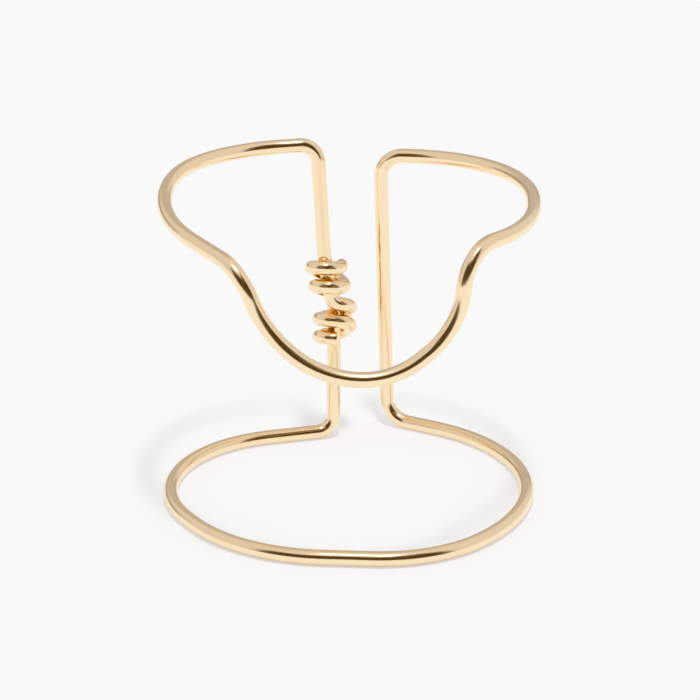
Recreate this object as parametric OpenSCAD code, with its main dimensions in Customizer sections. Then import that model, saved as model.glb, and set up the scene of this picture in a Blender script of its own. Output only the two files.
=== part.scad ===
// Nail ring bent from one round wire: a loop that lies round the finger, two posts at the back,
// and an upper loop whose front dips into a U that frames the nail. The two ends of the wire
// meet in one of the posts, where each end is wound round the other wire.
// The wire's centreline is a chain of bend points, joined by straight runs and round bends.
// Origin: under the middle of the finger hole, on the surface the ring stands on. Millimetres.

/* [Wire] */
// Thickness of the round wire
wire_d = 0.7; // [0.6:0.05:0.8]
// Bend radius of the wire's centre at the two corners of the post with the closure
corner_r = 0.85; // [0.6:0.05:1]
// Bend radius of the wire's centre at the two corners of the other post
plain_corner_r = 1.15; // [0.85:0.05:1.4]
// Bend radius of the wire's centre at the two shoulders of the nail opening
shoulder_r = 2.2; // [1.4:0.2:3]
// Largest bend radius of the wire's centre along the loops
loop_bend_r = 9; // [7:0.5:12]

/* [Loops] */
// Clear width of the finger hole
inner_w = 15.8; // [14:0.2:20]
// Height of the wire's centre at the upper loop's highest corner
upper_h = 15.2; // [14.6:0.2:19]
// Drop from that corner to the lowest bend point of the nail opening
nail_drop = 6.2; // [4.6:0.2:7]

/* [Closure] */
// Quarter turns of the upper coil; the lower coil has one more
coil_quarters = 7; // [3:1:8]
// Distance between two turns along the post, in wire thicknesses
coil_pitch = 1.33; // [1.33:0.01:1.45]
// Clearance between a wound end and the wire it is wound round
coil_gap = 0.05; // [0.05:0.01:0.1]
// Height halfway between the two coils
neck_z = 7.5; // [6.8:0.1:8]

/* [Hidden] */

gold = [0.88, 0.74, 0.52];
// Sides of the round wire's section, and the largest turn and run between two sections of a bend
ring_sides = 16;
step_turn = 15;
step_run = 0.8;

// Radius of the loops' centreline, and the finger's axis, which puts the ring's box round the origin
loop_r = (inner_w + wire_d) / 2;
axis_at = [0.14, -0.135];
// Distance from a coil's centreline to the centreline of the wire inside it
coil_r = wire_d + coil_gap;
// Run from the post to the point where a coil touches its circle
coil_lead = 0.3;
// Height between the end of the lower wire's post and that of the upper wire's
neck_h = 0.32;
// Direction from the lower wire to the upper one in the neck, degrees from +X
neck_turn = 260;
// Rise of each coil's turns across the post: for each millimetre to the right, and to the back
lower_tilt = [0.05, -0.5];
upper_tilt = [-0.25, -0.25];

// Lower loop, from the post with the closure round the front to the other post.
// Columns: angle from the front, positive to the right; distance from the axis in loop radii.
A = 0;
DIST = 1;
DROP = 2;
lower_bends = [
    [-172.5, 0.855],
    [-126, 1.075],
    [-85, 1.13],
    [-35, 1.08],
    [25, 1.05],
    [62, 1.04],
    [115, 1.255],
    [168, 1.065]
];

// Upper loop, the same way round.
// Columns: angle; distance; drop below the highest corner as a share of nail_drop.
upper_bends = [
    [-167, 0.895, 0],
    [-139, 1.07, 0.02],
    [-104.5, 1.07, 0.005],
    [-73, 1.065, 0.125],
    [-33.5, 1.055, 0.23],
    [-27, 1.015, 0.66],
    [-10, 1.02, 0.95],
    [11.5, 1.03, 0.995],
    [33, 1.035, 0.665],
    [35.5, 1.03, 0.1],
    [66.5, 1.055, 0.12],
    [97, 1.02, 0.08],
    [136.5, 1.185, 0.1],
    [170.5, 1.03, 0.145]
];
SHOULDERS = [4, 9];

// Point at an angle from the front, a distance in loop radii from the finger's axis, and a height
function polar(a, d, z) =
    [axis_at.x + d * loop_r * sin(a), axis_at.y - d * loop_r * cos(a), z];
function lower_point(i) = polar(lower_bends[i][A], lower_bends[i][DIST], wire_d / 2);
function upper_point(i) =
    polar(upper_bends[i][A], upper_bends[i][DIST], upper_h - nail_drop * upper_bends[i][DROP]);

last_lower = len(lower_bends) - 1;
last_upper = len(upper_bends) - 1;

// The upper wire comes down its post, bends a little above the coils and ends in the neck
function on_line(from, to, z) = from + (to - from) * (z - from.z) / (to.z - from.z);
upper_foot = polar(-171.5, 0.784, neck_z - neck_h / 2);
post_bend = polar(-168.5, 0.825, neck_z + 2.4);
// The lower wire comes up its post and ends beside the upper one
neck_offset = norm([coil_r, coil_lead]) * [cos(neck_turn), sin(neck_turn), 0];
lower_top = on_line(upper_foot, post_bend, neck_z + neck_h / 2) - neck_offset;

// Bend points of a coil round the line from-to: it starts at height z0 and angle a0, and climbs
// (way 1) or sinks (way -1) by a quarter of the pitch for each quarter turn
function rise(tilt, a) = tilt * [cos(a), sin(a)];
function coil_point(from, to, z, a, r, tilt) =
    on_line(from, to, z) + r * [cos(a), sin(a), rise(tilt, a)];
function coil(from, to, z0, way, a0, quarters, tilt) =
    let (
        level = z0 - coil_r * rise(tilt, a0),
        step = way * coil_pitch * wire_d / 4
    )
    [
        for (k = [0:quarters - 1])
            coil_point(from, to, level + step * (k + 0.5), a0 + 45 + 90 * k, coil_r * sqrt(2), tilt),
        coil_point(from, to, level + step * quarters, a0 + 90 * quarters, coil_r, tilt)
    ];
start_turn = neck_turn + atan(coil_lead / coil_r);
lower_quarters = coil_quarters + 1;
lower_coil = coil(lower_point(0), lower_top, upper_foot.z, -1, start_turn, lower_quarters, lower_tilt);
upper_coil = coil(upper_foot, post_bend, lower_top.z, 1, start_turn + 180, coil_quarters, upper_tilt);

// The whole wire from one cut end to the other, with the bend radius wanted at each point
neck_r = 0.55;
wire_points = concat(
    [for (k = [lower_quarters:-1:0]) lower_coil[k]],
    [upper_foot, post_bend],
    [for (i = [0:last_upper]) upper_point(i)],
    [for (i = [last_lower:-1:0]) lower_point(i)],
    [lower_top],
    upper_coil
);
function is_shoulder(i) = i == SHOULDERS[0] || i == SHOULDERS[1];
function loop_radius(i, last) =
    i == 0 ? corner_r :
    i == last ? plain_corner_r :
    last == last_upper && is_shoulder(i) ? shoulder_r :
    loop_bend_r;
wire_radii = concat(
    [for (k = [0:lower_quarters]) k == 0 ? 0 : coil_r],
    [neck_r, loop_bend_r],
    [for (i = [0:last_upper]) loop_radius(i, last_upper)],
    [for (i = [last_lower:-1:0]) loop_radius(i, last_lower)],
    [neck_r],
    [for (k = [0:coil_quarters]) k == coil_quarters ? 0 : coil_r]
);
last_point = len(wire_points) - 1;

// Legs between the bend points, and the turn from each leg to the next
legs = [for (i = [0:last_point - 1]) wire_points[i + 1] - wire_points[i]];
ways = [for (leg = legs) leg / norm(leg)];
turns = [
    for (i = [0:last_point])
        i == 0 || i == last_point ? 0 : acos(min(1, ways[i - 1] * ways[i]))
];
// Length of leg that each bend wants, and what it gets: at least half of the shorter leg
wants = [for (i = [0:last_point]) wire_radii[i] * tan(turns[i] / 2)];
function room(leg, own, other) = min(own, max(leg / 2, leg - other));
cuts = [
    for (i = [0:last_point])
        i == 0 || i == last_point ? 0 : min(
            room(norm(legs[i - 1]), wants[i], wants[i - 1]),
            room(norm(legs[i]), wants[i], wants[i + 1])
        )
];

// Side direction of the wire's rings: it turns with the wire at each bend, so the rings don't twist
function spin(v, axis, a) = v * cos(a) + cross(axis, v) * sin(a) + axis * (axis * v) * (1 - cos(a));
function unit(v) = v / norm(v);
function inward(i) = unit(ways[i] - ways[i - 1] * (ways[i - 1] * ways[i]));
function hinge(i) = cross(ways[i - 1], inward(i));
function carry(i, side) =
    i == last_point ? [side] : concat([side], carry(i + 1, spin(side, hinge(i), turns[i])));
sides = concat([[0, 0, 0]], carry(1, unit(cross(ways[0], [0, 1, 0]))));

// Rings of bend i: centre, direction of the wire and side direction. The first is left out where
// the bend before it ends at the same place
function run_before(i) = norm(legs[i - 1]) - cuts[i] - cuts[i - 1];
function ring(at, way, side) = [
    for (k = [0:ring_sides - 1])
        let (a = 360 * k / ring_sides)
        at + wire_d / 2 * (cos(a) * side + sin(a) * cross(way, side))
];
function bend_rings(i) =
    let (
        r = cuts[i] / tan(turns[i] / 2),
        steps = ceil(turns[i] * max(1 / step_turn, r * PI / 180 / step_run)),
        centre = wire_points[i] - ways[i - 1] * cuts[i] + inward(i) * r
    )
    [
        for (k = [(i > 1 && run_before(i) < 0.02 ? 1 : 0):steps])
            let (a = turns[i] * k / steps)
            ring(
                centre + spin(-inward(i) * r, hinge(i), a),
                spin(ways[i - 1], hinge(i), a),
                spin(sides[i], hinge(i), a)
            )
    ];

module ring_wire() {
    rings = concat(
        [ring(wire_points[0], ways[0], sides[1])],
        [for (i = [1:last_point - 1]) each bend_rings(i)],
        [ring(wire_points[last_point], ways[last_point - 1], sides[last_point])]
    );
    last = len(rings) - 1;
    walls = [
        for (j = [0:last - 1], k = [0:ring_sides - 1])
            let (
                a = j * ring_sides + k,
                b = j * ring_sides + (k + 1) % ring_sides
            )
            each [[a, a + ring_sides, b], [b, a + ring_sides, b + ring_sides]]
    ];
    ends = [
        [for (k = [0:ring_sides - 1]) k],
        [for (k = [ring_sides - 1:-1:0]) last * ring_sides + k]
    ];
    color(gold) polyhedron(points = [for (one = rings) each one], faces = concat(ends, walls));
}

ring_wire();
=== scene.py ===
"""A gold wire nail ring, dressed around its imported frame.

The wire is one tube swept along a chain of bend points, the same chain that the frame has: straight legs
joined by round bends. It makes a flat lower loop, two posts, a raised loop that dips in a U over the
fingernail, and two close coils, in which each end of the wire winds round the wire beside it. Sizes of the
wire are in millimetres and angles in degrees.
"""
import math

import bpy
import numpy as np
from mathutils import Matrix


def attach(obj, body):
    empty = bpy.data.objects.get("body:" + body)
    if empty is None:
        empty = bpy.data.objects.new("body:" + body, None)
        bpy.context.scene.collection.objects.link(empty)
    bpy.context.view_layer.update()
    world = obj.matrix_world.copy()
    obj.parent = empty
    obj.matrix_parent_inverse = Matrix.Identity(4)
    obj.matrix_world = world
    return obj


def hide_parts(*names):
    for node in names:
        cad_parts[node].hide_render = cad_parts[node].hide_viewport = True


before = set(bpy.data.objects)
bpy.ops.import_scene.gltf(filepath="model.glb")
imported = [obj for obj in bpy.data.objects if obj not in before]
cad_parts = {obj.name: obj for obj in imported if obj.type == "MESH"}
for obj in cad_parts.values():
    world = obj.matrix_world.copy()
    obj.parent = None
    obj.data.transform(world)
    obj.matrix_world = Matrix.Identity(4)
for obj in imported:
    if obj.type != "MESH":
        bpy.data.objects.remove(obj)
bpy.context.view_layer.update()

MM = 0.001
WHITE = (1, 1, 1, 1)

# Thickness of the round wire
WIRE_D = 0.7
WIRE_R = WIRE_D / 2
# Bend radius of the wire's centre at the two corners of the post with the closure, and of the other post
CORNER_R = 0.85
PLAIN_CORNER_R = 1.15
# Bend radius at the two shoulders of the nail opening, and the largest one along the loops
SHOULDER_R = 2.2
LOOP_BEND_R = 9.0

# Clear width of the finger hole, and the radius of the loops' centreline
INNER_W = 15.8
LOOP_R = (INNER_W + WIRE_D) / 2
# Height of the upper loop's highest corner, and the drop from it to the lowest bend point of the opening
UPPER_H = 15.2
NAIL_DROP = 6.2
# The finger's axis, which puts the ring's box round the origin
AXIS_AT = (0.14, -0.135)

# Lower loop, from the post with the closure round the front to the other post: angle from the front,
# positive to the right, and distance from the axis in loop radii
LOWER_BENDS = [
    (-172.5, 0.855),
    (-126, 1.075),
    (-85, 1.13),
    (-35, 1.08),
    (25, 1.05),
    (62, 1.04),
    (115, 1.255),
    (168, 1.065),
]
# Upper loop, the same way round: angle, distance, and drop below the highest corner in nail drops
UPPER_BENDS = [
    (-167, 0.895, 0),
    (-139, 1.07, 0.02),
    (-104.5, 1.07, 0.005),
    (-73, 1.065, 0.125),
    (-33.5, 1.055, 0.23),
    (-27, 1.015, 0.66),
    (-10, 1.02, 0.95),
    (11.5, 1.03, 0.995),
    (33, 1.035, 0.665),
    (35.5, 1.03, 0.1),
    (66.5, 1.055, 0.12),
    (97, 1.02, 0.08),
    (136.5, 1.185, 0.1),
    (170.5, 1.03, 0.145),
]
# Rows of the two shoulders in it
SHOULDERS = (4, 9)

# Height halfway between the two coils, and between the ends of the upper and the lower wire there
NECK_Z = 7.5
NECK_H = 0.32
# Direction from the lower wire to the upper one there, and the bend radius of each
NECK_TURN = 260
NECK_R = 0.55
# End of the upper wire's post, and the post's bend a little above the coils: angle, distance, height
UPPER_FOOT = (-171.5, 0.784, NECK_Z - NECK_H / 2)
POST_BEND = (-168.5, 0.825, NECK_Z + 2.4)
# Clearance between a wound end and the wire inside it, and the distance between their centres
COIL_GAP = 0.05
COIL_R = WIRE_D + COIL_GAP
# Run from the post to the point where a coil touches its circle, and distance between two turns
COIL_LEAD = 0.3
COIL_PITCH = 1.33 * WIRE_D
# Quarter turns of each coil, and the rise of its turns for each millimetre to the right and to the back
LOWER_QUARTERS = 8
UPPER_QUARTERS = 7
LOWER_TILT = (0.05, -0.5)
UPPER_TILT = (-0.25, -0.25)

# Sides of the tube, and the largest turn and run between two of its rings
TUBE_SIDES = 40
STEP_TURN = 3.5
STEP_RUN = 0.16
# Runs, and turns in radians, that are too small to draw
LEAST_RUN = 0.0001
LEAST_TURN = 0.000001
# Radius of the cut ends' rounding, its rings, and how many such radii from the end the others begin
END_ROUND = 0.12
END_RINGS = 7
END_CLEAR = 1.02

# Gold: the tones and the roughness that its clouds run between, and the clouds in a metre
GOLD_TONES = ((0.985, 0.715, 0.435, 1), (1.0, 0.735, 0.46, 1))
GOLD_ROUGHNESS = (0.15, 0.21)
GOLD_CLOUDS = 700.0
# Drawing lines of the wire: their scale in a metre across, across and along it, their depth in metres, and
# the share of it that shows
LINE_SCALE = (9000, 9000, 160)
LINE_DEPTH = 0.00001
LINE_STRENGTH = 0.12
NOISE_DETAIL = 2.0

# Room: level of light of its pale walls, and how much more they give to the right
ROOM_LEVEL = 0.92
ROOM_LEAN = 0.03
# Soft-edged panels laid over the walls one after the other: azimuth from the camera's side to the right,
# elevation, half width, half height, half width of the edge, and level of light
PANELS = [
    (200, 6, 48, 11, 5, 0.47),
    (185, 38, 25, 25, 8, 0.62),
    (3, 25, 55, 24, 4, 0.095),
    (36, 50, 20, 12, 5, 0.11),
]
# Overhead softbox, a disc laid over them: azimuth, elevation, half angle, half width of the edge, and level
SOFTBOX = (7, 75, 6, 3, 12.0)
# Where the room is dim its light is warm: the colour, and the levels at which it is full and gone
DIM_COLOUR = (1.0, 0.9, 0.75, 1)
DIM_FULL = 0.1
DIM_GONE = 0.45

# Overhead lamp: azimuth and elevation, distance, width and depth in metres, and power in watts
LAMP_FROM = (14, 78)
LAMP_FAR = 0.183
LAMP_SIZE = (0.015, 0.030)
LAMP_POWER = 0.24

# Floor: half its width in metres, how much light it gives back, and how much shines through it
FLOOR_HALF = 1.2
FLOOR_WHITE = 0.52
FLOOR_GLOW = 0.89

# Camera: place in metres, degrees down, and focal length in the picture's pixels
CAMERA_AT = (0.000057, -0.100262, 0.045782)
CAMERA_DOWN = 21.0
FOCAL_PX = 2307.1
# Width of the picture in pixels and of the sensor in millimetres, and nearest and farthest sight in metres
PICTURE_PX = 700
SENSOR_MM = 36.0
CLIP_NEAR = 0.001
CLIP_FAR = 10.0

# Picture: level of light at the foot and the top of the tone curve, and the curve's points, from share of
# that light to tone. It is the one of the view's curves that takes all colours together
BLACK_POINT = 0.03
WHITE_POINT = 1.35
TONES = [(0.25, 0.325), (0.47, 0.57), (0.727, 0.80), (0.962, 0.94)]
TOP_TONE = 0.958
TONE_CURVE = 3


def unit(v):
    """The vector at length one."""
    return v / np.linalg.norm(v)


def polar(angle, distance, z):
    """A point at an angle from the front, a distance in loop radii from the finger's axis, and a height."""
    a = math.radians(angle)
    return np.array([
        AXIS_AT[0] + distance * LOOP_R * math.sin(a),
        AXIS_AT[1] - distance * LOOP_R * math.cos(a),
        z,
    ])


def on_line(start, stop, z):
    """The point at height z of the line from start to stop."""
    return start + (stop - start) * ((z - start[2]) / (stop[2] - start[2]))


def coil(foot, head, z0, way, turn0, quarters, tilt):
    """Bend points of a coil round the wire from foot to head.

    There are four a turn, on a square that the helix of radius COIL_R touches from inside, and one last
    point on the helix itself. Each quarter turn climbs, or for way -1 sinks, by a quarter of the pitch. The
    turns are tilted: tilt times the place across the wire is added to the height, which is z0 at turn0.
    """
    start = math.radians(turn0)
    level = z0 - COIL_R * (tilt[0] * math.cos(start) + tilt[1] * math.sin(start))
    points = []
    for k in range(quarters + 1):
        is_last = k == quarters
        quarter = k if is_last else k + 0.5
        reach = COIL_R if is_last else COIL_R * math.sqrt(2)
        a = math.radians(turn0 + 90 * quarter)
        rise = tilt[0] * math.cos(a) + tilt[1] * math.sin(a)
        middle = on_line(foot, head, level + way * COIL_PITCH * quarter / 4)
        points.append(middle + reach * np.array([math.cos(a), math.sin(a), rise]))
    return points


def bend_chain():
    """Bend points of the whole wire, from the lower coil's cut end to the upper coil's, and their radii."""
    lower = [polar(a, d, WIRE_R) for a, d in LOWER_BENDS]
    upper = [polar(a, d, UPPER_H - NAIL_DROP * drop) for a, d, drop in UPPER_BENDS]

    # In the neck the lower wire comes up beside the end of the upper one
    upper_foot = polar(*UPPER_FOOT)
    post_bend = polar(*POST_BEND)
    neck = math.radians(NECK_TURN)
    beside = math.hypot(COIL_R, COIL_LEAD) * np.array([math.cos(neck), math.sin(neck), 0])
    lower_top = on_line(upper_foot, post_bend, upper_foot[2] + NECK_H) - beside

    # From its foot the upper wire winds down round the lower one, and from its top the lower wire winds up
    # round the upper one
    turn0 = NECK_TURN + math.degrees(math.atan(COIL_LEAD / COIL_R))
    low_coil = coil(lower[0], lower_top, upper_foot[2], -1, turn0, LOWER_QUARTERS, LOWER_TILT)
    up_coil = coil(upper_foot, post_bend, lower_top[2], 1, turn0 + 180, UPPER_QUARTERS, UPPER_TILT)
    points = low_coil[::-1] + [upper_foot, post_bend] + upper + lower[::-1] + [lower_top] + up_coil

    lower_radii = [CORNER_R] + [LOOP_BEND_R] * (len(lower) - 2) + [PLAIN_CORNER_R]
    upper_radii = [CORNER_R] + [LOOP_BEND_R] * (len(upper) - 2) + [PLAIN_CORNER_R]
    for shoulder in SHOULDERS:
        upper_radii[shoulder] = SHOULDER_R
    radii = [0.0] + [COIL_R] * LOWER_QUARTERS + [NECK_R, LOOP_BEND_R] + upper_radii
    radii += lower_radii[::-1] + [NECK_R] + [COIL_R] * UPPER_QUARTERS + [0.0]
    return np.array(points), np.array(radii)


def bend_cuts(length, turn, radii):
    """The run from the start of each round bend to its bend point, radius x tan(turn / 2).

    Where a leg is too short for that, the bend gets half of the leg or what the next bend leaves of it,
    whichever is more.
    """
    need = radii * np.tan(turn / 2)
    before = np.maximum(length / 2, length - need[:-1])[:-1]
    after = np.maximum(length / 2, length - need[1:])[1:]
    cut = np.zeros(len(need))
    cut[1:-1] = np.minimum(need[1:-1], np.minimum(before, after))
    return cut


def spin(v, pole, a):
    """v turned about pole by each angle a: v cos a + (pole x v) sin a + pole (pole . v) (1 - cos a)."""
    return v * np.cos(a) + np.cross(pole, v) * np.sin(a) + pole * (pole @ v) * (1 - np.cos(a))


def sweep_rings(points, radii):
    """Centre, side direction and wire direction of every ring along the chain.

    A leg runs from start to stop in even steps. A bend is an arc: centre = stop + radius (sin a way +
    (1 - cos a) inward). The side direction turns with the wire, so that the rings don't twist.
    """
    legs = np.diff(points, axis=0)
    length = np.linalg.norm(legs, axis=1)
    way = legs / length[:, None]
    turn = np.zeros(len(points))
    turn[1:-1] = np.arccos(np.clip((way[:-1] * way[1:]).sum(1), -1, 1))
    cut = bend_cuts(length, turn, radii)

    side = unit(np.cross(way[0], (0, 0, 1)))
    centres, sides, ways = [points[:1]], [side[None]], [way[:1]]
    for i in range(1, len(points)):
        start = centres[-1][-1]
        stop = points[i] - way[i - 1] * cut[i]
        run = np.linalg.norm(stop - start)
        if run > LEAST_RUN:
            count = math.ceil(run / STEP_RUN)
            share = (np.arange(count) + 1)[:, None] / count
            centres.append(start + (stop - start) * share)
            sides.append(np.repeat(side[None], count, 0))
            ways.append(np.repeat(way[i - 1][None], count, 0))
        if turn[i] > LEAST_TURN:
            radius = cut[i] / math.tan(turn[i] / 2)
            pole = unit(np.cross(way[i - 1], way[i]))
            inward = np.cross(pole, way[i - 1])
            count = math.ceil(max(math.degrees(turn[i]) / STEP_TURN, radius * turn[i] / STEP_RUN, 2))
            a = (np.arange(count) + 1)[:, None] / count * turn[i]
            centres.append(stop + radius * (np.sin(a) * way[i - 1] + (1 - np.cos(a)) * inward))
            sides.append(spin(side, pole, a))
            ways.append(np.cos(a) * way[i - 1] + np.sin(a) * inward)
            side = sides[-1][-1]
    return np.concatenate(centres), np.concatenate(sides), np.concatenate(ways)


def round_ends(centres, sides, ways):
    """The rings with a quarter round at both cut ends, and each ring's radius and run from the first end.

    A ring of the rounding is END_ROUND (1 - sin a) from its end, and its radius is less by
    END_ROUND (1 - cos a), with a from 0 to 90 degrees.
    """
    run = np.concatenate([[0], np.cumsum(np.linalg.norm(np.diff(centres, axis=0), axis=1))])
    kept = (run > END_ROUND * END_CLEAR) & (run < run[-1] - END_ROUND * END_CLEAR)
    a = np.linspace(0, math.pi / 2, END_RINGS)
    depth = END_ROUND - END_ROUND * np.sin(a)
    end_radius = WIRE_R - END_ROUND * (1 - np.cos(a))

    centres = np.concatenate([
        centres[0] + ways[0] * depth[::-1, None],
        centres[kept],
        centres[-1] - ways[-1] * depth[:, None],
    ])
    sides, ways = [
        np.concatenate([np.repeat(v[:1], END_RINGS, 0), v[kept], np.repeat(v[-1:], END_RINGS, 0)])
        for v in (sides, ways)
    ]
    radius = np.concatenate([end_radius[::-1], np.full(kept.sum(), WIRE_R), end_radius])
    run = np.concatenate([depth[::-1], run[kept], run[-1] - depth])
    return centres, sides, ways, radius, run


def add_mesh(name, points, faces):
    """A mesh object in the scene, with its place in its mesh."""
    mesh = bpy.data.meshes.new(name)
    mesh.from_pydata(points, [], faces)
    obj = bpy.data.objects.new(name, mesh)
    bpy.context.scene.collection.objects.link(obj)
    return obj


def tube(name, centres, sides, ways, radius, run):
    """A closed round tube: point = centre + radius (cos t side + sin t (way x side)), t once round a ring.

    Quads join each ring to the next, and a fan of triangles closes each end. Every vertex keeps its place on
    the wire, in metres: across, across and along.
    """
    t = np.arange(TUBE_SIDES) * 2 * math.pi / TUBE_SIDES
    ups = np.cross(ways, sides)
    rim = np.cos(t)[None, :, None] * sides[:, None] + np.sin(t)[None, :, None] * ups[:, None]
    skin = centres[:, None] + radius[:, None, None] * rim
    across = radius[:, None] * np.cos(t), radius[:, None] * np.sin(t)
    place = np.stack(np.broadcast_arrays(*across, run[:, None]), 2)
    points = np.concatenate([skin.reshape(-1, 3), centres[[0, -1]]]) * MM
    place = np.concatenate([place.reshape(-1, 3), [[0, 0, run[0]], [0, 0, run[-1]]]]) * MM

    last_ring = (len(centres) - 1) * TUBE_SIDES
    ring = np.arange(0, last_ring, TUBE_SIDES)[:, None]
    next_ring = ring + TUBE_SIDES
    here = np.arange(TUBE_SIDES)
    beside = (here + 1) % TUBE_SIDES
    quads = np.stack([ring + here, ring + beside, next_ring + beside, next_ring + here], 2)
    first_centre = np.full(TUBE_SIDES, last_ring + TUBE_SIDES)
    first_fan = np.stack([beside, here, first_centre], 1)
    last_fan = np.stack([last_ring + here, last_ring + beside, first_centre + 1], 1)
    faces = quads.reshape(-1, 4).tolist() + first_fan.tolist() + last_fan.tolist()

    obj = add_mesh(name, points.tolist(), faces)
    obj.data.attributes.new("wire_place", "FLOAT_VECTOR", "POINT").data.foreach_set("vector", place.ravel())
    obj.data.polygons.foreach_set("use_smooth", np.ones(len(faces), bool))
    obj.data.update()
    return obj


def set_inputs(tree, node, inputs):
    """Links or sets a node's inputs, each given as a socket to link or as a value."""
    for name, value in inputs.items():
        if isinstance(value, bpy.types.NodeSocket):
            tree.links.new(value, node.inputs[name])
        else:
            node.inputs[name].default_value = value


def add_node(tree, kind, inputs, **settings):
    """A shader node of that kind, with its inputs and its other settings."""
    node = tree.nodes.new("ShaderNode" + kind)
    for name, value in settings.items():
        setattr(node, name, value)
    set_inputs(tree, node, inputs)
    return node


def maths(tree, operation, a, b=0.0):
    """One operation on two inputs, each a socket or a number. Where it takes one, the second isn't used."""
    return add_node(tree, "Math", {0: a, 1: b}, operation=operation).outputs["Value"]


def noise(tree, vector, scale):
    """Cloudy noise between nought and one, with about that many clouds to one unit of the vector."""
    inputs = {"Vector": vector, "Scale": scale, "Detail": NOISE_DETAIL}
    return add_node(tree, "TexNoise", inputs).outputs["Fac"]


def fade(tree, value, start, stop):
    """A smooth step from one, below start, to nought, above stop."""
    inputs = {"Value": value, "From Min": start, "From Max": stop, "To Min": 1.0, "To Max": 0.0}
    return add_node(tree, "MapRange", inputs, interpolation_type="SMOOTHSTEP").outputs["Result"]


def blend(tree, share, first, second):
    """The first colour, with the second in its place as the share goes from nought to one."""
    inputs = {"Factor": share, "A": first, "B": second}
    return add_node(tree, "Mix", inputs, data_type="RGBA").outputs["Result"]


def gold():
    """Polished gold: metal all through, a little clouded in tone and gloss, with faint drawing lines."""
    material = bpy.data.materials.new("polished_gold")
    material.use_nodes = True
    tree = material.node_tree
    place = add_node(tree, "Attribute", {}, attribute_name="wire_place").outputs["Vector"]
    clouds = noise(tree, place, GOLD_CLOUDS)
    stretched = add_node(tree, "Mapping", {"Vector": place, "Scale": LINE_SCALE}).outputs["Vector"]
    lines = {"Height": noise(tree, stretched, 1.0), "Strength": LINE_STRENGTH, "Distance": LINE_DEPTH}
    gloss = {"Value": clouds, "To Min": GOLD_ROUGHNESS[0], "To Max": GOLD_ROUGHNESS[1]}
    set_inputs(tree, tree.nodes["Principled BSDF"], {
        "Metallic": 1.0,
        "Base Color": blend(tree, clouds, *GOLD_TONES),
        "Roughness": add_node(tree, "MapRange", gloss).outputs["Result"],
        "Normal": add_node(tree, "Bump", lines).outputs["Normal"],
    })
    return material


def aim(azimuth, elevation):
    """Unit vector from the object towards that azimuth, counted from the camera's side to the right."""
    a, e = math.radians(azimuth), math.radians(elevation)
    return (math.sin(a) * math.cos(e), -math.cos(a) * math.cos(e), math.sin(e))


def share_towards(tree, direction, axis):
    """The dot product of the direction and an axis."""
    inputs = {0: direction, 1: axis}
    return add_node(tree, "VectorMath", inputs, operation="DOT_PRODUCT").outputs["Value"]


def angle_of(tree, operation, a, b=0.0):
    """The angle that an inverse sine, cosine or tangent gives, in degrees."""
    return maths(tree, "MULTIPLY", maths(tree, operation, a, b), 180 / math.pi)


def laid_over(tree, under, level, mask):
    """under + (level - under) x mask: the level where the mask is one, and what lies under it elsewhere."""
    change = maths(tree, "MULTIPLY", maths(tree, "SUBTRACT", level, under), mask)
    return maths(tree, "ADD", under, change)


def panel_mask(tree, direction, height, azimuth, elevation, half_width, half_height, edge):
    """One inside a panel and nought outside it: its fade in azimuth x its fade in elevation."""
    ahead = share_towards(tree, direction, aim(azimuth, 0))
    aside = share_towards(tree, direction, aim(azimuth + 90, 0))
    off = maths(tree, "ABSOLUTE", angle_of(tree, "ARCTAN2", aside, ahead))
    rise = maths(tree, "ABSOLUTE", maths(tree, "SUBTRACT", height, elevation))
    in_width = fade(tree, off, half_width - edge, half_width + edge)
    in_height = fade(tree, rise, half_height - edge, half_height + edge)
    return maths(tree, "MULTIPLY", in_width, in_height)


def disc_mask(tree, direction, azimuth, elevation, half_angle, edge):
    """One inside a disc and nought outside it: the fade of the angle from its middle."""
    apart = angle_of(tree, "ARCCOSINE", share_towards(tree, direction, aim(azimuth, elevation)))
    return fade(tree, apart, half_angle - edge, half_angle + edge)


def light_room():
    """The room round the object: pale walls, panels, the softbox, and a warm tint where it is dim."""
    world = bpy.data.worlds.new("studio")
    world.use_nodes = True
    tree = world.node_tree
    direction = add_node(tree, "TexCoord", {}).outputs["Generated"]
    height = angle_of(tree, "ARCSINE", share_towards(tree, direction, (0, 0, 1)))
    lean = maths(tree, "MULTIPLY", share_towards(tree, direction, (1, 0, 0)), ROOM_LEAN)
    light = maths(tree, "ADD", lean, ROOM_LEVEL)
    for *shape, level in PANELS:
        light = laid_over(tree, light, level, panel_mask(tree, direction, height, *shape))
    *shape, level = SOFTBOX
    light = laid_over(tree, light, level, disc_mask(tree, direction, *shape))
    colour = blend(tree, fade(tree, light, DIM_FULL, DIM_GONE), WHITE, DIM_COLOUR)
    set_inputs(tree, tree.nodes["Background"], {"Strength": light, "Color": colour})
    bpy.context.scene.world = world


def hang_lamp(lamp_at):
    """The lamp of the shadows, facing down. The wire doesn't mirror it beside the softbox."""
    data = bpy.data.lights.new("lamp", "AREA")
    data.shape = "ELLIPSE"
    data.size, data.size_y = LAMP_SIZE
    data.energy = LAMP_POWER
    lamp = bpy.data.objects.new("lamp", data)
    bpy.context.scene.collection.objects.link(lamp)
    lamp.location = lamp_at
    lamp.visible_glossy = False
    lamp.visible_camera = False


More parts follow.
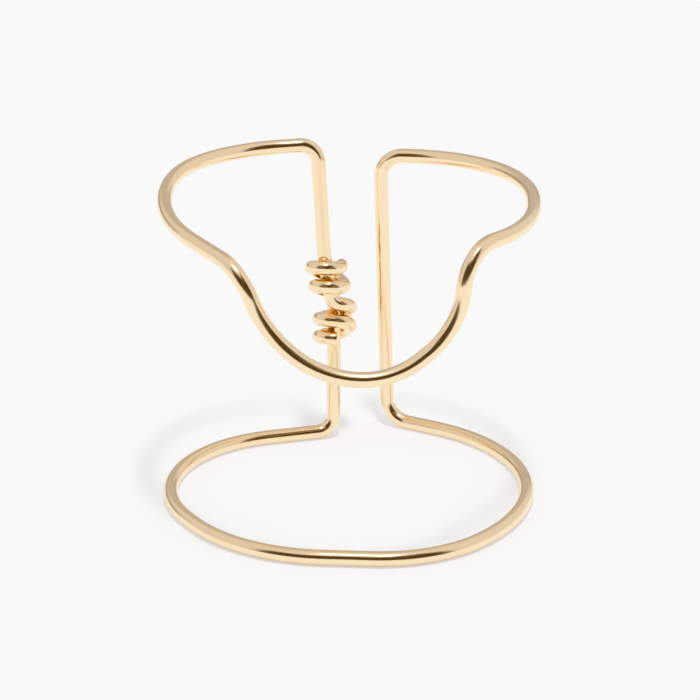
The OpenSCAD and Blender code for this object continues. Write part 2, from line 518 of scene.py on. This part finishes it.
def pale_sheet(lamp_at):
    """Matt white sheet, lit from below so that shadows stay soft.

    Its glow is less under the lamp, so that the sheet is even: the lamp gives white P h^2 / (pi^2 d^4),
    where P is its power, h its height and d its distance.
    """
    material = bpy.data.materials.new("pale_floor")
    material.use_nodes = True
    tree = material.node_tree
    here = add_node(tree, "TexCoord", {}).outputs["Object"]
    from_lamp = add_node(tree, "VectorMath", {0: here, 1: lamp_at}, operation="DISTANCE").outputs["Value"]
    lamp_share = FLOOR_WHITE * LAMP_POWER * lamp_at[2] ** 2 / math.pi ** 2
    lamp_light = maths(tree, "DIVIDE", lamp_share, maths(tree, "POWER", from_lamp, 4))
    set_inputs(tree, tree.nodes["Principled BSDF"], {
        "Base Color": (FLOOR_WHITE, FLOOR_WHITE, FLOOR_WHITE, 1),
        "Roughness": 1.0,
        "Specular IOR Level": 0.0,
        "Emission Color": WHITE,
        "Emission Strength": maths(tree, "SUBTRACT", FLOOR_GLOW, lamp_light),
    })
    return material


def lay_floor(lamp_at):
    """The floor that the ring stands on, a square of the pale sheet."""
    corners = [(x * FLOOR_HALF, y * FLOOR_HALF, 0) for x, y in ((-1, -1), (1, -1), (1, 1), (-1, 1))]
    floor = add_mesh("floor", corners, [(0, 1, 2, 3)])
    floor.data.materials.append(pale_sheet(lamp_at))
    return floor


def place_camera():
    """The camera in front of the ring, tipped down at it."""
    data = bpy.data.cameras.new("camera")
    data.sensor_width = SENSOR_MM
    data.lens = SENSOR_MM * FOCAL_PX / PICTURE_PX
    data.clip_start = CLIP_NEAR
    data.clip_end = CLIP_FAR
    camera = bpy.data.objects.new("camera", data)
    bpy.context.scene.collection.objects.link(camera)
    camera.location = CAMERA_AT
    camera.rotation_euler = (math.radians(90 - CAMERA_DOWN), 0, 0)
    bpy.context.scene.camera = camera


def set_tones():
    """Standard tones through the curve, which lifts the greys and holds back the brightest tones."""
    view = bpy.context.scene.view_settings
    view.view_transform = "Standard"
    view.use_curve_mapping = True
    mapping = view.curve_mapping
    mapping.black_level = [BLACK_POINT] * 3
    mapping.white_level = [WHITE_POINT] * 3
    curve = mapping.curves[TONE_CURVE]
    for light, tone in TONES:
        curve.points.new(light, tone)
    curve.points[-1].location = (1, TOP_TONE)
    mapping.update()


# Wire
wire = tube("ring_wire_gold", *round_ends(*sweep_rings(*bend_chain())))
wire.data.materials.append(gold())
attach(wire, "root")
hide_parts("ring_wire")

# Studio
light_room()
lamp_at = [LAMP_FAR * share for share in aim(*LAMP_FROM)]
hang_lamp(lamp_at)
floor = lay_floor(lamp_at)

# Picture
place_camera()
set_tones()
